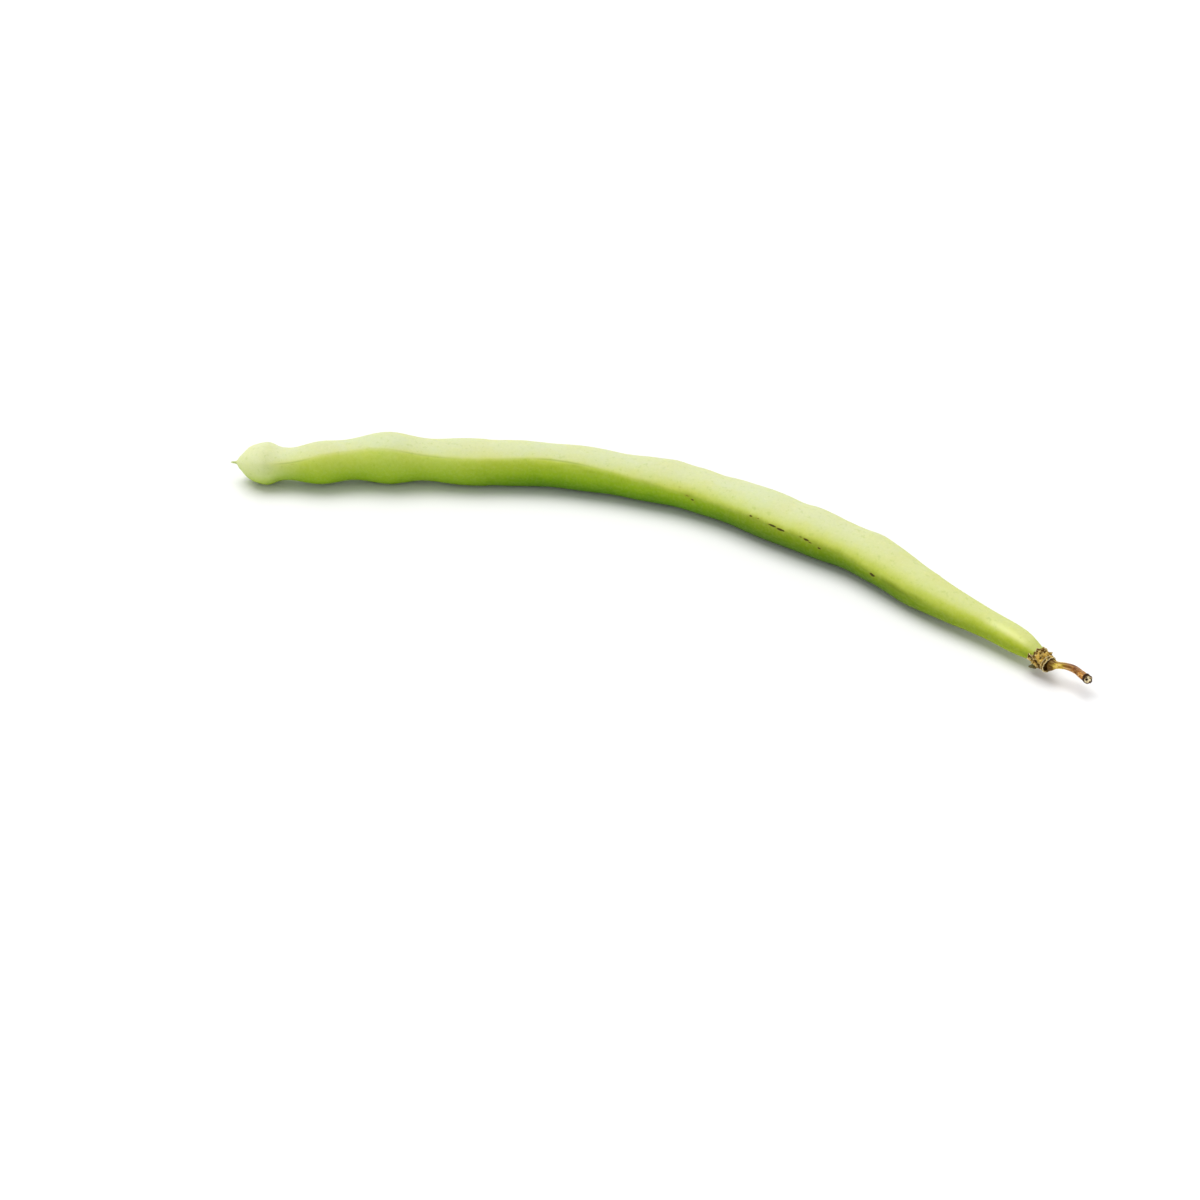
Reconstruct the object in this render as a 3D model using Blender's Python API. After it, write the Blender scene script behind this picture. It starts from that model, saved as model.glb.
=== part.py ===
"""A green bean as picked, lying on its side: pod, dried calyx, flower stalk and one bracteole.

Lengths below are in millimetres, and MM turns them into metres. The pod lies on the plane z = 0 with the
tip of its beak at -X and its stalk at +X. Distances "along the pod" run from the beak's tip.
"""

from math import cos, pi, sin, sqrt

import bmesh
import bpy
import numpy as np

MM = 0.001
FINE_STEPS = 40  # a curve's length is measured in this many steps for every point asked of it

# Centre line of the pod: its beak's tip first, then one long bow in the plane it lies on.
SPINE = (
    (-85.95, -14.4, 3.9),
    (-82.8, -13.55, 4.05),
    (-79.3, -12.6, 4.25),
    (-70.5, -9.7, 4.7),
    (-59.5, -3.5, 5.2),
    (-45.5, 2.2, 4.8),
    (-29.5, 8.3, 4.6),
    (-11.5, 11.8, 4.5),
    (6.5, 12.1, 4.45),
    (24.5, 8.1, 4.45),
    (40.5, 3.8, 4.25),
    (54.5, -3.4, 4.0),
    (66.5, -8.1, 3.7),
    (73.2, -11.0, 3.4),
    (75.3, -12.4, 3.35),
    (77.1, -13.8, 3.3),
)

# Half of the pod's thickness from valve to valve, without the seeds, at distances along the pod.
HALF_THICKNESS = (
    (0.0, 0.15),
    (0.8, 0.25),
    (1.3, 0.4),
    (1.9, 1.15),
    (2.6, 1.85),
    (3.6, 2.8),
    (4.9, 3.6),
    (6.6, 4.1),
    (8.0, 4.2),
    (9.6, 3.6),
    (12.6, 3.25),
    (18.0, 4.2),
    (24.0, 3.95),
    (32.0, 5.1),
    (38.5, 4.25),
    (45.0, 4.55),
    (55.0, 4.5),
    (70.0, 4.35),
    (85.0, 4.3),
    (99.0, 4.35),
    (117.0, 4.55),
    (129.0, 4.2),
    (138.0, 4.05),
    (147.0, 3.5),
    (155.0, 2.85),
    (163.0, 2.35),
    (167.5, 2.15),
    (169.5, 1.75),
    (171.0, 1.25),
    (173.5, 1.15),
)
HEIGHT_TO_THICKNESS = 1.10  # the pod is this much taller, from suture to suture, than it is thick
END_ROUNDING = 0.5

# The ventral suture winds round the pod: its angle above the plane at distances along the pod.
SUTURE_ANGLE = (
    (0.0, 28.0),
    (7.5, 28.0),
    (13.0, 33.0),
    (16.5, 41.0),
    (21.0, 50.0),
    (26.0, 51.0),
    (32.0, 47.0),
    (42.0, 38.0),
    (52.0, 37.0),
    (63.0, 43.0),
    (70.0, 41.0),
    (77.0, 34.0),
    (85.0, 23.0),
    (93.0, 17.0),
    (110.0, 15.0),
    (120.0, 13.0),
    (140.0, 5.0),
    (155.0, 1.0),
    (175.0, 0.0),
)
SUTURE_RIDGE = 0.04  # how far each suture stands out, as a share of the radius
FAR_RIDGE = 0.5  # the other suture's ridge, as a share of this one's
RIDGE_HALF_ANGLE = 0.45  # in radians

FIRST_SEED = 58.0
SEED_PITCH = 13.0
SEED_SWELL = 0.08
LAST_SEED = 141.0
SWELL_UPWARDS = 0.5  # how much a seed adds to the pod's height, as a share of what it adds to its thickness

POD_RINGS = 100
POD_SIDES = 24
END_CROWDING = 0.85  # how much closer the rings stand at the pod's two ends than they would evenly
TIP_SETBACK = 0.03  # the first and last rings stand this far inside the ends, so that they have some width

# The calyx is a dried cup round the neck's end, with a funnel behind it for the stalk. Its rings run from
# the cup's floor over the lobes and down the outside to the funnel's floor: (distance from the end of the
# pod towards the stalk, radius, how far the lobes reach).
CALYX_RINGS = (
    (0.30, 0.60, 0.0),
    (0.30, 1.25, 0.0),
    (-0.10, 1.55, 0.0),
    (-1.10, 1.58, 0.3),
    (-1.60, 1.66, 1.0),
    (-1.70, 1.86, 1.0),
    (-1.15, 1.84, 0.3),
    (-0.30, 1.74, 0.0),
    (0.60, 1.66, 0.0),
    (1.45, 1.54, 0.0),
    (1.50, 1.30, 0.0),
    (0.90, 1.12, 0.0),
    (0.75, 0.60, 0.0),
)
CALYX_LOBES = 5
CALYX_LOBE_LENGTH = 0.4
CALYX_CRUMPLE = 0.07
CALYX_FOLDS = 3
CALYX_FOLD_TWIST = 2.0  # how far the folds turn round the cup, in radians per millimetre
CALYX_SIDES = 30

# Centre line and radius of the flower stalk, from the calyx to the scar where it came off the plant.
STALK = (
    (78.15, -14.65, 3.3, 0.60),
    (78.7, -14.7, 3.4, 0.62),
    (79.4, -14.55, 3.45, 0.58),
    (80.5, -14.3, 3.45, 0.56),
    (81.7, -14.25, 3.45, 0.60),
    (82.8, -14.6, 3.4, 0.64),
    (83.9, -15.35, 3.35, 0.68),
    (84.75, -16.0, 3.35, 0.74),
    (85.2, -16.3, 3.35, 0.72),
)
STALK_POINTS = 24
STALK_ROUNDNESS = 3  # the bevel resolution, which gives the stalk 10 sides

# The bracteole is a small dry scale under the calyx.
BRACTEOLE_BASE = (75.9, -14.5, 1.42)
BRACTEOLE_TIP = (74.75, -14.0, 1.1)
BRACTEOLE_HALF_WIDTH = 0.45
BRACTEOLE_HALF_THICKNESS = 0.15
BRACTEOLE_ARCH = 0.12
BRACTEOLE_RINGS = 9
BRACTEOLE_SIDES = 14

SKIN_GREEN = (0.45, 0.60, 0.12)
CALYX_BROWN = (0.26, 0.16, 0.06)
STALK_BROWN = (0.38, 0.22, 0.07)
SKIN_ROUGHNESS = 0.4
CALYX_ROUGHNESS = 0.8
STALK_ROUGHNESS = 0.65


def clear_scene():
    for thing in list(bpy.data.objects):
        bpy.data.objects.remove(thing, do_unlink=True)


def new_material(name, color, roughness):
    material = bpy.data.materials.new(name)
    material.use_nodes = True
    shader = material.node_tree.nodes["Principled BSDF"]
    shader.inputs["Base Color"].default_value = (*color, 1.0)
    shader.inputs["Roughness"].default_value = roughness
    shader.inputs["Metallic"].default_value = 0.0
    return material


def spline(knots, values, places):
    """The natural cubic spline through (knots, values), read at places; values may be rows of numbers."""
    values = np.asarray(values, float).reshape(len(knots), -1)
    gaps = np.diff(knots)
    slopes = np.diff(values, axis=0) / gaps[:, None]
    system = np.eye(len(knots))
    right = np.zeros_like(values)
    for i in range(1, len(knots) - 1):
        system[i, i - 1 : i + 2] = gaps[i - 1], 2 * (gaps[i - 1] + gaps[i]), gaps[i]
        right[i] = 6 * (slopes[i] - slopes[i - 1])
    bend = np.linalg.solve(system, right)
    places = np.clip(places, knots[0], knots[-1])
    i = np.clip(np.searchsorted(knots, places, side="right") - 1, 0, len(knots) - 2)
    gap = gaps[i][:, None]
    before = np.asarray(places)[:, None] - np.asarray(knots)[i][:, None]
    after = gap - before
    curved = (bend[i] * after**3 + bend[i + 1] * before**3) / (6 * gap)
    near = (values[i] / gap - bend[i] * gap / 6) * after
    far = (values[i + 1] / gap - bend[i + 1] * gap / 6) * before
    return curved + near + far


def path_through(points, shares):
    """Points at shares of the length of a smooth curve through the given ones, with each one's distance along
    the curve and the curve's direction there.
    """
    points = np.asarray(points, float)
    chords = np.linalg.norm(np.diff(points[:, :3], axis=0), axis=1)
    knots = np.concatenate([[0.0], np.cumsum(chords)])
    fine = spline(knots, points, np.linspace(0.0, knots[-1], FINE_STEPS * len(shares)))
    steps = np.linalg.norm(np.diff(fine[:, :3], axis=0), axis=1)
    travelled = np.concatenate([[0.0], np.cumsum(steps)])
    along = travelled[-1] * np.asarray(shares)
    chosen = np.stack([np.interp(along, travelled, column) for column in fine.T], axis=1)
    directions = np.gradient(chosen[:, :3], along, axis=0)
    directions /= np.linalg.norm(directions, axis=1)[:, None]
    return chosen, along, directions


def pod_line():
    """The pod's centre line, its rings closer together at its ends."""
    even = np.linspace(0.0, 1.0, POD_RINGS)
    return path_through(SPINE, even - END_CROWDING * np.sin(2 * pi * even) / (2 * pi))


def read(table, places):
    knots, values = np.array(table).T
    return spline(knots, values, places)[:, 0]


def round_off(along, length):
    """A factor that closes the pod's two ends like the ends of an ellipsoid."""
    depth = np.clip(np.minimum(along, length - along) / END_ROUNDING, 0.0, 1.0)
    return np.sqrt(1.0 - (1.0 - depth) ** 2)


def seed_wave(along):
    wave = SEED_SWELL * np.cos(2 * pi * (along - FIRST_SEED) / SEED_PITCH)
    inside = (along > FIRST_SEED - SEED_PITCH / 2) & (along < LAST_SEED + SEED_PITCH / 2)
    return np.where(inside, wave, 0.0)


def frames(directions):
    """For each direction, a level sideways vector (towards -Y on a path along +X) and the vector above it."""
    sideways = np.cross(directions, (0.0, 0.0, 1.0))
    sideways /= np.linalg.norm(sideways, axis=1)[:, None]
    return sideways, np.cross(sideways, directions)


def loft(name, rings):
    """One closed body through rings of as many points each, with its two ends closed by fans."""
    mesh = bmesh.new()
    loops = [[mesh.verts.new(point * MM) for point in ring] for ring in rings]
    for near, far in zip(loops[:-1], loops[1:]):
        for i in range(len(near)):
            j = (i + 1) % len(near)
            mesh.faces.new((near[i], near[j], far[j], far[i]))
    for loop in (loops[0], loops[-1]):
        centre = mesh.verts.new(sum((vertex.co for vertex in loop), loop[0].co * 0.0) / len(loop))
        for i in range(len(loop)):
            mesh.faces.new((centre, loop[(i + 1) % len(loop)], loop[i]))
    bmesh.ops.recalc_face_normals(mesh, faces=mesh.faces)
    data = bpy.data.meshes.new(name)
    mesh.to_mesh(data)
    mesh.free()
    data.shade_smooth()
    return bpy.data.objects.new(name, data)


def pod_end():
    """The end of the pod's centre line, the direction it points in, and the two vectors across it."""
    points, _, directions = pod_line()
    sideways, above = frames(directions)
    return points[-1], directions[-1], sideways[-1], above[-1]


def build_pod():
    points, along, directions = pod_line()
    length = along[-1]
    along = np.clip(along, TIP_SETBACK, length - TIP_SETBACK)
    swell = seed_wave(along)
    closing = round_off(along, length)
    base = read(HALF_THICKNESS, along)
    half_thickness = (base + swell) * closing
    half_height = HEIGHT_TO_THICKNESS * (base + SWELL_UPWARDS * swell) * closing
    suture = np.radians(read(SUTURE_ANGLE, along))
    sideways, above = frames(directions)
    to_suture = sideways * np.cos(suture)[:, None] + above * np.sin(suture)[:, None]
    to_valve = above * np.cos(suture)[:, None] - sideways * np.sin(suture)[:, None]
    rings = []
    for k in range(len(points)):
        ring = []
        for side in range(POD_SIDES):
            turn = 2 * pi * side / POD_SIDES
            ridge = np.exp(-((turn if turn < pi else turn - 2 * pi) / RIDGE_HALF_ANGLE) ** 2)
            ridge += FAR_RIDGE * np.exp(-((turn - pi) / RIDGE_HALF_ANGLE) ** 2)
            out = 1.0 + SUTURE_RIDGE * ridge
            point = (
                points[k]
                + to_suture[k] * half_height[k] * cos(turn) * out
                + to_valve[k] * half_thickness[k] * sin(turn) * out
            )
            # The skin gives a little where the pod rests, so its lowest places are flat.
            point[2] = max(point[2], 0.0)
            ring.append(point)
        rings.append(ring)
    return loft("pod", rings)


def build_calyx():
    end, onward, sideways, above = pod_end()
    rings = []
    for distance, radius, lobed in CALYX_RINGS:
        ring = []
        for side in range(CALYX_SIDES):
            turn = 2 * pi * side / CALYX_SIDES
            reach = distance - CALYX_LOBE_LENGTH * lobed * cos(CALYX_LOBES * turn)
            fold = sin(CALYX_FOLDS * turn + CALYX_FOLD_TWIST * distance)
            crumpled = radius * (1.0 + CALYX_CRUMPLE * (1.0 + fold) / 2)
            across = sideways * cos(turn) + above * sin(turn)
            ring.append(end + onward * reach + across * crumpled)
        rings.append(ring)
    return loft("calyx", rings)


def build_stalk():
    points, _, _ = path_through(STALK, np.linspace(0.0, 1.0, STALK_POINTS))
    curve = bpy.data.curves.new("pedicel", "CURVE")
    curve.dimensions = "3D"
    curve.bevel_depth = MM
    curve.bevel_resolution = STALK_ROUNDNESS
    curve.use_fill_caps = True
    line = curve.splines.new("POLY")
    line.points.add(len(points) - 1)
    for place, (x, y, z, radius) in zip(line.points, points):
        place.co = (x * MM, y * MM, z * MM, 1.0)
        place.radius = radius
    return bpy.data.objects.new("pedicel", curve)


def build_bracteole():
    base = np.array(BRACTEOLE_BASE)
    tip = np.array(BRACTEOLE_TIP)
    onward = tip - base
    directions = (onward / np.linalg.norm(onward))[None, :]
    sideways, above = (vectors[0] for vectors in frames(directions))
    rings = []
    for step in range(BRACTEOLE_RINGS):
        share = (step + 0.5) / BRACTEOLE_RINGS
        fullness = sqrt(sin(pi * share))
        ring = []
        for side in range(BRACTEOLE_SIDES):
            turn = 2 * pi * side / BRACTEOLE_SIDES
            arch = BRACTEOLE_ARCH * (sin(pi * share) - cos(turn) ** 2)
            across = sideways * BRACTEOLE_HALF_WIDTH * fullness * cos(turn)
            lift = above * (BRACTEOLE_HALF_THICKNESS * fullness * sin(turn) + arch)
            ring.append(base + onward * share + across + lift)
        rings.append(ring)
    return loft("bracteole", rings)


def main():
    clear_scene()
    parts = bpy.data.collections.new("green_bean")
    bpy.context.scene.collection.children.link(parts)
    fresh_skin = new_material("fresh_skin", SKIN_GREEN, SKIN_ROUGHNESS)
    dried_calyx = new_material("dried_calyx", CALYX_BROWN, CALYX_ROUGHNESS)
    dried_stalk = new_material("dried_stalk", STALK_BROWN, STALK_ROUGHNESS)
    for part, material in (
        (build_pod(), fresh_skin),
        (build_calyx(), dried_calyx),
        (build_stalk(), dried_stalk),
        (build_bracteole(), dried_calyx),
    ):
        part.data.materials.append(material)
        parts.objects.link(part)


main()
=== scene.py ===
"""The looks of the green bean: fine meshes and finishes for its four pieces, on a pale floor.

Lengths are in millimetres, and MM turns them into metres. Distances "along the pod" run from the tip of its
beak. Angles are in radians unless a comment says otherwise. Each section has its own sizes at its top.
"""

from math import cos, pi, radians, sin

import bpy
import numpy as np
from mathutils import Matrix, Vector, noise


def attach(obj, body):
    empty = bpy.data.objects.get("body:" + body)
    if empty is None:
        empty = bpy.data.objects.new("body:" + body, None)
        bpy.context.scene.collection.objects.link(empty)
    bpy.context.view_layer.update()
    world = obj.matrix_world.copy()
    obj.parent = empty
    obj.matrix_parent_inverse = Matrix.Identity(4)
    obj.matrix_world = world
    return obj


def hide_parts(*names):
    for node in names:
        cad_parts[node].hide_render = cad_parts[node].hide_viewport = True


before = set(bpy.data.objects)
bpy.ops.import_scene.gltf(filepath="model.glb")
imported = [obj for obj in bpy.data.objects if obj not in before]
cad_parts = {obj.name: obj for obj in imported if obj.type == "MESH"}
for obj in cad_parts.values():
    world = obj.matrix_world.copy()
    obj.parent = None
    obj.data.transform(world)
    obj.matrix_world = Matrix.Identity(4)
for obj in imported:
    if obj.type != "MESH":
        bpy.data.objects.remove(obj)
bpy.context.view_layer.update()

MM = 0.001

# ---- driving sizes, as in part.py

# Centre line of the pod: its beak's tip first, then one long bow in the plane it lies on.
SPINE = (
    (-85.95, -14.4, 3.9),
    (-82.8, -13.55, 4.05),
    (-79.3, -12.6, 4.25),
    (-70.5, -9.7, 4.7),
    (-59.5, -3.5, 5.2),
    (-45.5, 2.2, 4.8),
    (-29.5, 8.3, 4.6),
    (-11.5, 11.8, 4.5),
    (6.5, 12.1, 4.45),
    (24.5, 8.1, 4.45),
    (40.5, 3.8, 4.25),
    (54.5, -3.4, 4.0),
    (66.5, -8.1, 3.7),
    (73.2, -11.0, 3.4),
    (75.3, -12.4, 3.35),
    (77.1, -13.8, 3.3),
)

# Half of the pod's thickness from valve to valve, without the seeds, at distances along the pod. The last few
# millimetres, inside the calyx, are up to a quarter of a millimetre fuller than in part.py.
HALF_THICKNESS = (
    (0.0, 0.15), (0.8, 0.25), (1.3, 0.4), (1.9, 1.15), (2.6, 1.85), (3.6, 2.8), (4.9, 3.6), (6.6, 4.1),
    (8.0, 4.2), (9.6, 3.6), (12.6, 3.25), (18.0, 4.2), (24.0, 3.95), (32.0, 5.1), (38.5, 4.25),
    (45.0, 4.55), (55.0, 4.5), (70.0, 4.35), (85.0, 4.3), (99.0, 4.35), (117.0, 4.55), (129.0, 4.2),
    (138.0, 4.05), (147.0, 3.5), (155.0, 2.85), (163.0, 2.35), (167.5, 2.15), (169.5, 1.8),
    (171.0, 1.5), (173.5, 1.2),
)
HEIGHT_TO_THICKNESS = 1.10  # the pod is this much taller, from suture to suture, than it is thick
END_ROUNDING = 0.5

# The ventral suture winds round the pod: its angle above the plane, in degrees, at distances along the pod.
SUTURE_ANGLE = (
    (0.0, 28.0), (7.5, 28.0), (13.0, 33.0), (16.5, 41.0), (21.0, 50.0), (26.0, 51.0), (32.0, 47.0),
    (42.0, 38.0), (52.0, 37.0), (63.0, 43.0), (70.0, 41.0), (77.0, 34.0), (85.0, 23.0), (93.0, 17.0),
    (110.0, 15.0), (120.0, 13.0), (140.0, 5.0), (155.0, 1.0), (175.0, 0.0),
)
FAR_RIDGE = 0.5  # the other suture's ridge and groove, as a share of this one's

FIRST_SEED = 58.0
SEED_PITCH = 13.0
SEED_SWELL = 0.08
LAST_SEED = 141.0
SWELL_UPWARDS = 0.5  # how much a seed adds to the pod's height, as a share of what it adds to its thickness

CALYX_LOBES = 5
CALYX_LOBE_LENGTH = 0.4

# Centre line and radius of the flower stalk, from the calyx to the scar where it came off the plant.
STALK = (
    (78.15, -14.65, 3.3, 0.6),
    (78.7, -14.7, 3.4, 0.62),
    (79.4, -14.55, 3.45, 0.58),
    (80.5, -14.3, 3.45, 0.56),
    (81.7, -14.25, 3.45, 0.6),
    (82.8, -14.6, 3.4, 0.64),
    (83.9, -15.35, 3.35, 0.68),
    (84.75, -16.0, 3.35, 0.74),
    (85.2, -16.3, 3.35, 0.72),
)

# The bracteole is a small dry scale under the calyx.
BRACTEOLE_BASE = (75.9, -14.5, 1.42)
BRACTEOLE_TIP = (74.75, -14.0, 1.1)
BRACTEOLE_HALF_WIDTH = 0.45
BRACTEOLE_HALF_THICKNESS = 0.15
BRACTEOLE_ARCH = 0.12


# ---- curves, noise and lofts

FINE_STEPS = 8000  # a curve's length is measured in this many steps
SMALLEST = 1e-9  # where a vector is divided by its length, the length counts as at least this
NOISE_STEPS = (7.31, 3.17, 5.53)  # how far apart in the noise two seeds next to each other are


def spline(knots, values, places):
    """The natural cubic spline through (knots, values), read at places; values may be rows of numbers."""
    values = np.asarray(values, float).reshape(len(knots), -1)
    knots = np.asarray(knots, float)
    gaps = np.diff(knots)
    slopes = np.diff(values, axis=0) / gaps[:, None]
    system = np.eye(len(knots))
    right = np.zeros_like(values)
    for i in range(1, len(knots) - 1):
        system[i, i - 1 : i + 2] = gaps[i - 1], 2 * (gaps[i - 1] + gaps[i]), gaps[i]
        right[i] = 6 * (slopes[i] - slopes[i - 1])
    bend = np.linalg.solve(system, right)
    places = np.clip(places, knots[0], knots[-1])
    i = np.clip(np.searchsorted(knots, places, side="right") - 1, 0, len(knots) - 2)
    gap = gaps[i][:, None]
    before = places[:, None] - knots[i][:, None]
    after = gap - before
    curved = (bend[i] * after**3 + bend[i + 1] * before**3) / (6 * gap)
    near = (values[i] / gap - bend[i] * gap / 6) * after
    far = (values[i + 1] / gap - bend[i + 1] * gap / 6) * before
    return curved + near + far


def read(table, places):
    knots, values = np.array(table).T
    return spline(knots, values, places)[:, 0]


def read_straight(table, places):
    knots, values = np.array(table).T
    return np.interp(places, knots, values)


def path_through(points, shares):
    """Points at shares of the length of a smooth curve through the given ones, with each one's distance along
    the curve and the curve's direction there.
    """
    points = np.asarray(points, float)
    chords = np.linalg.norm(np.diff(points[:, :3], axis=0), axis=1)
    knots = np.concatenate([[0.0], np.cumsum(chords)])
    fine = spline(knots, points, np.linspace(0.0, knots[-1], FINE_STEPS))
    steps = np.linalg.norm(np.diff(fine[:, :3], axis=0), axis=1)
    travelled = np.concatenate([[0.0], np.cumsum(steps)])
    along = travelled[-1] * np.asarray(shares)
    chosen = np.stack([np.interp(along, travelled, column) for column in fine.T], axis=1)
    return chosen, along, unit(np.gradient(chosen[:, :3], along, axis=0))


def unit(vectors):
    """The vectors, each brought to length 1."""
    vectors = np.asarray(vectors, float)
    return vectors / np.maximum(np.linalg.norm(vectors, axis=-1), SMALLEST)[..., None]


def frames(directions):
    """For each direction, a level sideways vector (towards -Y on a path along +X) and the vector above it."""
    sideways = unit(np.cross(directions, (0.0, 0.0, 1.0)))
    return sideways, np.cross(sideways, directions)


def circle(sides):
    return np.linspace(0.0, 2 * pi, sides, endpoint=False)


def bell(value, middle, half_width, power=2):
    """1 at the middle, falling off smoothly to either side."""
    return np.exp(-(((value - middle) / half_width) ** power))


def rise(value, start, span):
    """0 at start and 1 from start + span on, straight in between; a negative span makes it rise downwards."""
    return np.clip((value - start) / span, 0.0, 1.0)


def noise_at(points, length, seed):
    """Smooth noise from about -1 to 1 at each point, its lumps about length across."""
    shift = Vector([seed * step for step in NOISE_STEPS])
    flat = points.reshape(-1, 3) / length
    values = [noise.noise(Vector(point) + shift) for point in flat]
    return np.array(values).reshape(points.shape[:-1])


def lumps(points, height, length, seed):
    """Noise that is up to about height high, its lumps about length across."""
    return height * noise_at(points, length, seed)


def placed(name, data):
    """A new object in the scene."""
    made = bpy.data.objects.new(name, data)
    bpy.context.scene.collection.objects.link(made)
    return made


def loft(name, rings, attributes):
    """A closed mesh through rings (count, sides, 3), in millimetres, its two ends closed by fans.

    attributes has, under each name, a number for each point of the rings.
    """
    count, sides = rings.shape[:2]
    vertices = np.concatenate([rings.reshape(-1, 3), [rings[0].mean(0)], [rings[-1].mean(0)]]) * MM
    ring, side = np.meshgrid(np.arange(count - 1), np.arange(sides), indexing="ij")
    near = ring * sides + side
    beside = ring * sides + (side + 1) % sides
    quads = np.stack([near, near + sides, beside + sides, beside], axis=-1).reshape(-1, 4)
    here = np.arange(sides)
    onward = (here + 1) % sides
    last = (count - 1) * sides
    first_fan = np.stack([np.full(sides, count * sides), here, onward], axis=1)
    last_fan = np.stack([np.full(sides, count * sides + 1), last + onward, last + here], axis=1)
    mesh = bpy.data.meshes.new(name)
    mesh.from_pydata(vertices.tolist(), [], quads.tolist() + first_fan.tolist() + last_fan.tolist())
    for title, values in attributes.items():
        values = np.concatenate([values.reshape(-1), [values[0].mean()], [values[-1].mean()]])
        mesh.attributes.new(title, "FLOAT", "POINT").data.foreach_set("value", values.astype(np.float32))
    mesh.shade_smooth()
    return placed(name, mesh)


def joined(name, parts):
    """One object from several lofts, each a pair of rings and attributes."""
    lofts = [loft(f"{name}_{k}", rings, attributes) for k, (rings, attributes) in enumerate(parts)]
    with bpy.context.temp_override(active_object=lofts[0], selected_editable_objects=lofts):
        bpy.ops.object.join()
    lofts[0].name = name
    return lofts[0]


# ---- the pod

POD_RINGS = 740
POD_SIDES = 112
END_CROWDING = 0.6  # how much closer the rings stand at the pod's two ends than they would evenly
SIDE_CROWDING = 0.3  # the same for the sides towards the two sutures, where the relief is finest
TIP_SETBACK = 0.03  # the first and last rings stand this far inside the ends, so that they have some width

# How far the sutures stand out, as a share of the radius, along the pod.
SUTURE_RIDGE = (
    (0.0, 0.02), (8.0, 0.05), (12.0, 0.08), (19.0, 0.1), (60.0, 0.09), (90.0, 0.05), (125.0, 0.03),
    (175.0, 0.02),
)
RIDGE_HALF_ANGLE = 0.40
RIDGE_SOFTNESS = 0.08
# How deep the groove in each suture's crest is, along the pod.
GROOVE_DEPTH = (
    (0.0, 0.0), (10.0, 0.0), (11.5, 0.04), (14.8, 0.04), (17.5, 0.01), (33.0, 0.01), (36.0, 0.03),
    (42.0, 0.03), (46.0, 0.01), (61.0, 0.01), (64.0, 0.05), (70.0, 0.05), (75.0, 0.01), (107.0, 0.01),
    (114.0, 0.05), (125.0, 0.01), (137.0, 0.04), (147.0, 0.05), (155.0, 0.01), (175.0, 0.0),
)
GROOVE_HALF_WIDTH = 0.15
FULL_CREASE = 0.05  # a groove this deep has the whole of a crease's painted shade

# Low swells and hollows: distance along, angle from the suture, height and half length.
SWELLS = (
    (68.0, 1.7, 0.12, 3.0), (80.0, 1.7, -0.2, 3.4), (89.3, 1.8, 0.4, 2.9), (98.5, 1.8, -0.34, 2.8),
    (116.0, 1.8, -0.14, 2.2), (119.8, 1.8, 0.14, 1.8), (126.0, 1.9, -0.18, 3.2),
    (133.2, 1.9, 0.26, 2.2), (137.5, -1.2, -0.2, 3.0), (144.0, -1.2, 0.22, 3.0),
)
SWELL_HALF_ANGLE = 0.8
# Finer relief all over: height, the size of its lumps and the noise's seed. All lumps are given like this.
DENTS = (0.08, 8.0, 1)
RIPPLES = (0.028, 2.4, 2)
PEBBLES = (0.007, 0.7, 3)
RELIEF_RADIUS = 1.5  # the relief fades where the pod's radius is less than this
SMALLEST_RADIUS = 0.05  # where the pod is divided by its radius, the radius counts as at least this

# How far above the suture the paler skin starts, along the pod, and how wide its edge is; the darker skin
# below it has painted shade.
PALE_FROM = ((0.0, -0.1), (55.0, 0.0), (90.0, 0.0), (108.0, 0.4), (145.0, 0.5), (175.0, 0.4))
VALVE_BLEND = 2.0
SUTURE_HALF_WIDTH = 0.45  # of the suture's paler line
# A painted highlight, a paler streak on the neck: its middle and half length, along the pod and round it.
NECK_HIGHLIGHT_ALONG = 165.5
NECK_HIGHLIGHT_HALF_LENGTH = 4.2
NECK_HIGHLIGHT_TURN = 0.98
NECK_HIGHLIGHT_HALF_ANGLE = 0.26

# Brown scuffs along the suture: distance along, distance off it towards the upper valve, half length, half
# width and strength.
SCUFFS = (
    (92.34, 1.05, 0.7, 0.35, 0.5), (94.34, -0.15, 0.9, 0.35, 0.66), (95.64, -0.65, 0.6, 0.34, 0.85),
    (96.24, -1.05, 0.5, 0.2, 0.7), (109.44, 0.42, 0.45, 0.27, 1.0), (111.04, 0.5, 0.45, 0.2, 0.8),
    (114.25, 0.27, 1.0, 0.22, 1.35), (116.05, 0.12, 0.95, 0.25, 1.35), (121.54, 0.2, 0.75, 0.27, 1.15),
    (122.44, -0.05, 0.55, 0.2, 0.95), (120.34, 0.3, 0.5, 0.15, 0.8), (124.54, -0.45, 0.55, 0.28, 1.05),
    (137.74, -0.1, 0.8, 0.34, 1.25), (130.04, -4.15, 0.6, 0.35, 0.8), (132.34, -4.1, 0.9, 0.4, 0.9),
    (133.94, -3.9, 0.6, 0.3, 0.8), (115.2, 0.19, 2.3, 0.08, 0.62), (122.94, -0.1, 2.8, 0.08, 0.52),
    (13.44, -0.35, 1.4, 0.1, 0.5), (61.14, -0.15, 4.5, 0.08, 0.42), (67.64, -0.15, 3.0, 0.08, 0.45),
    (142.64, -0.05, 3.0, 0.09, 0.46),
)
# Soft deeper green places, painted shade, given in the same way.
SHADES = (
    (143.34, 0.2, 3.6, 0.65, 1.0), (147.64, 0.65, 2.6, 0.5, 0.6), (94.74, 0.1, 1.6, 0.55, 0.6),
    (110.34, 0.35, 1.6, 0.5, 0.35), (70.0, -0.45, 1.8, 0.35, 0.45), (73.0, -0.95, 1.6, 0.35, 0.35),
    (85.2, 0.1, 2.6, 0.45, 0.35),
)


def pod_line():
    """The pod's centre line and the vectors across it, its rings closer together at its ends."""
    even = np.linspace(0.0, 1.0, POD_RINGS)
    points, along, directions = path_through(SPINE, even - END_CROWDING * np.sin(2 * pi * even) / (2 * pi))
    sideways, above = frames(directions)
    return points, along, directions, sideways, above


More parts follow.
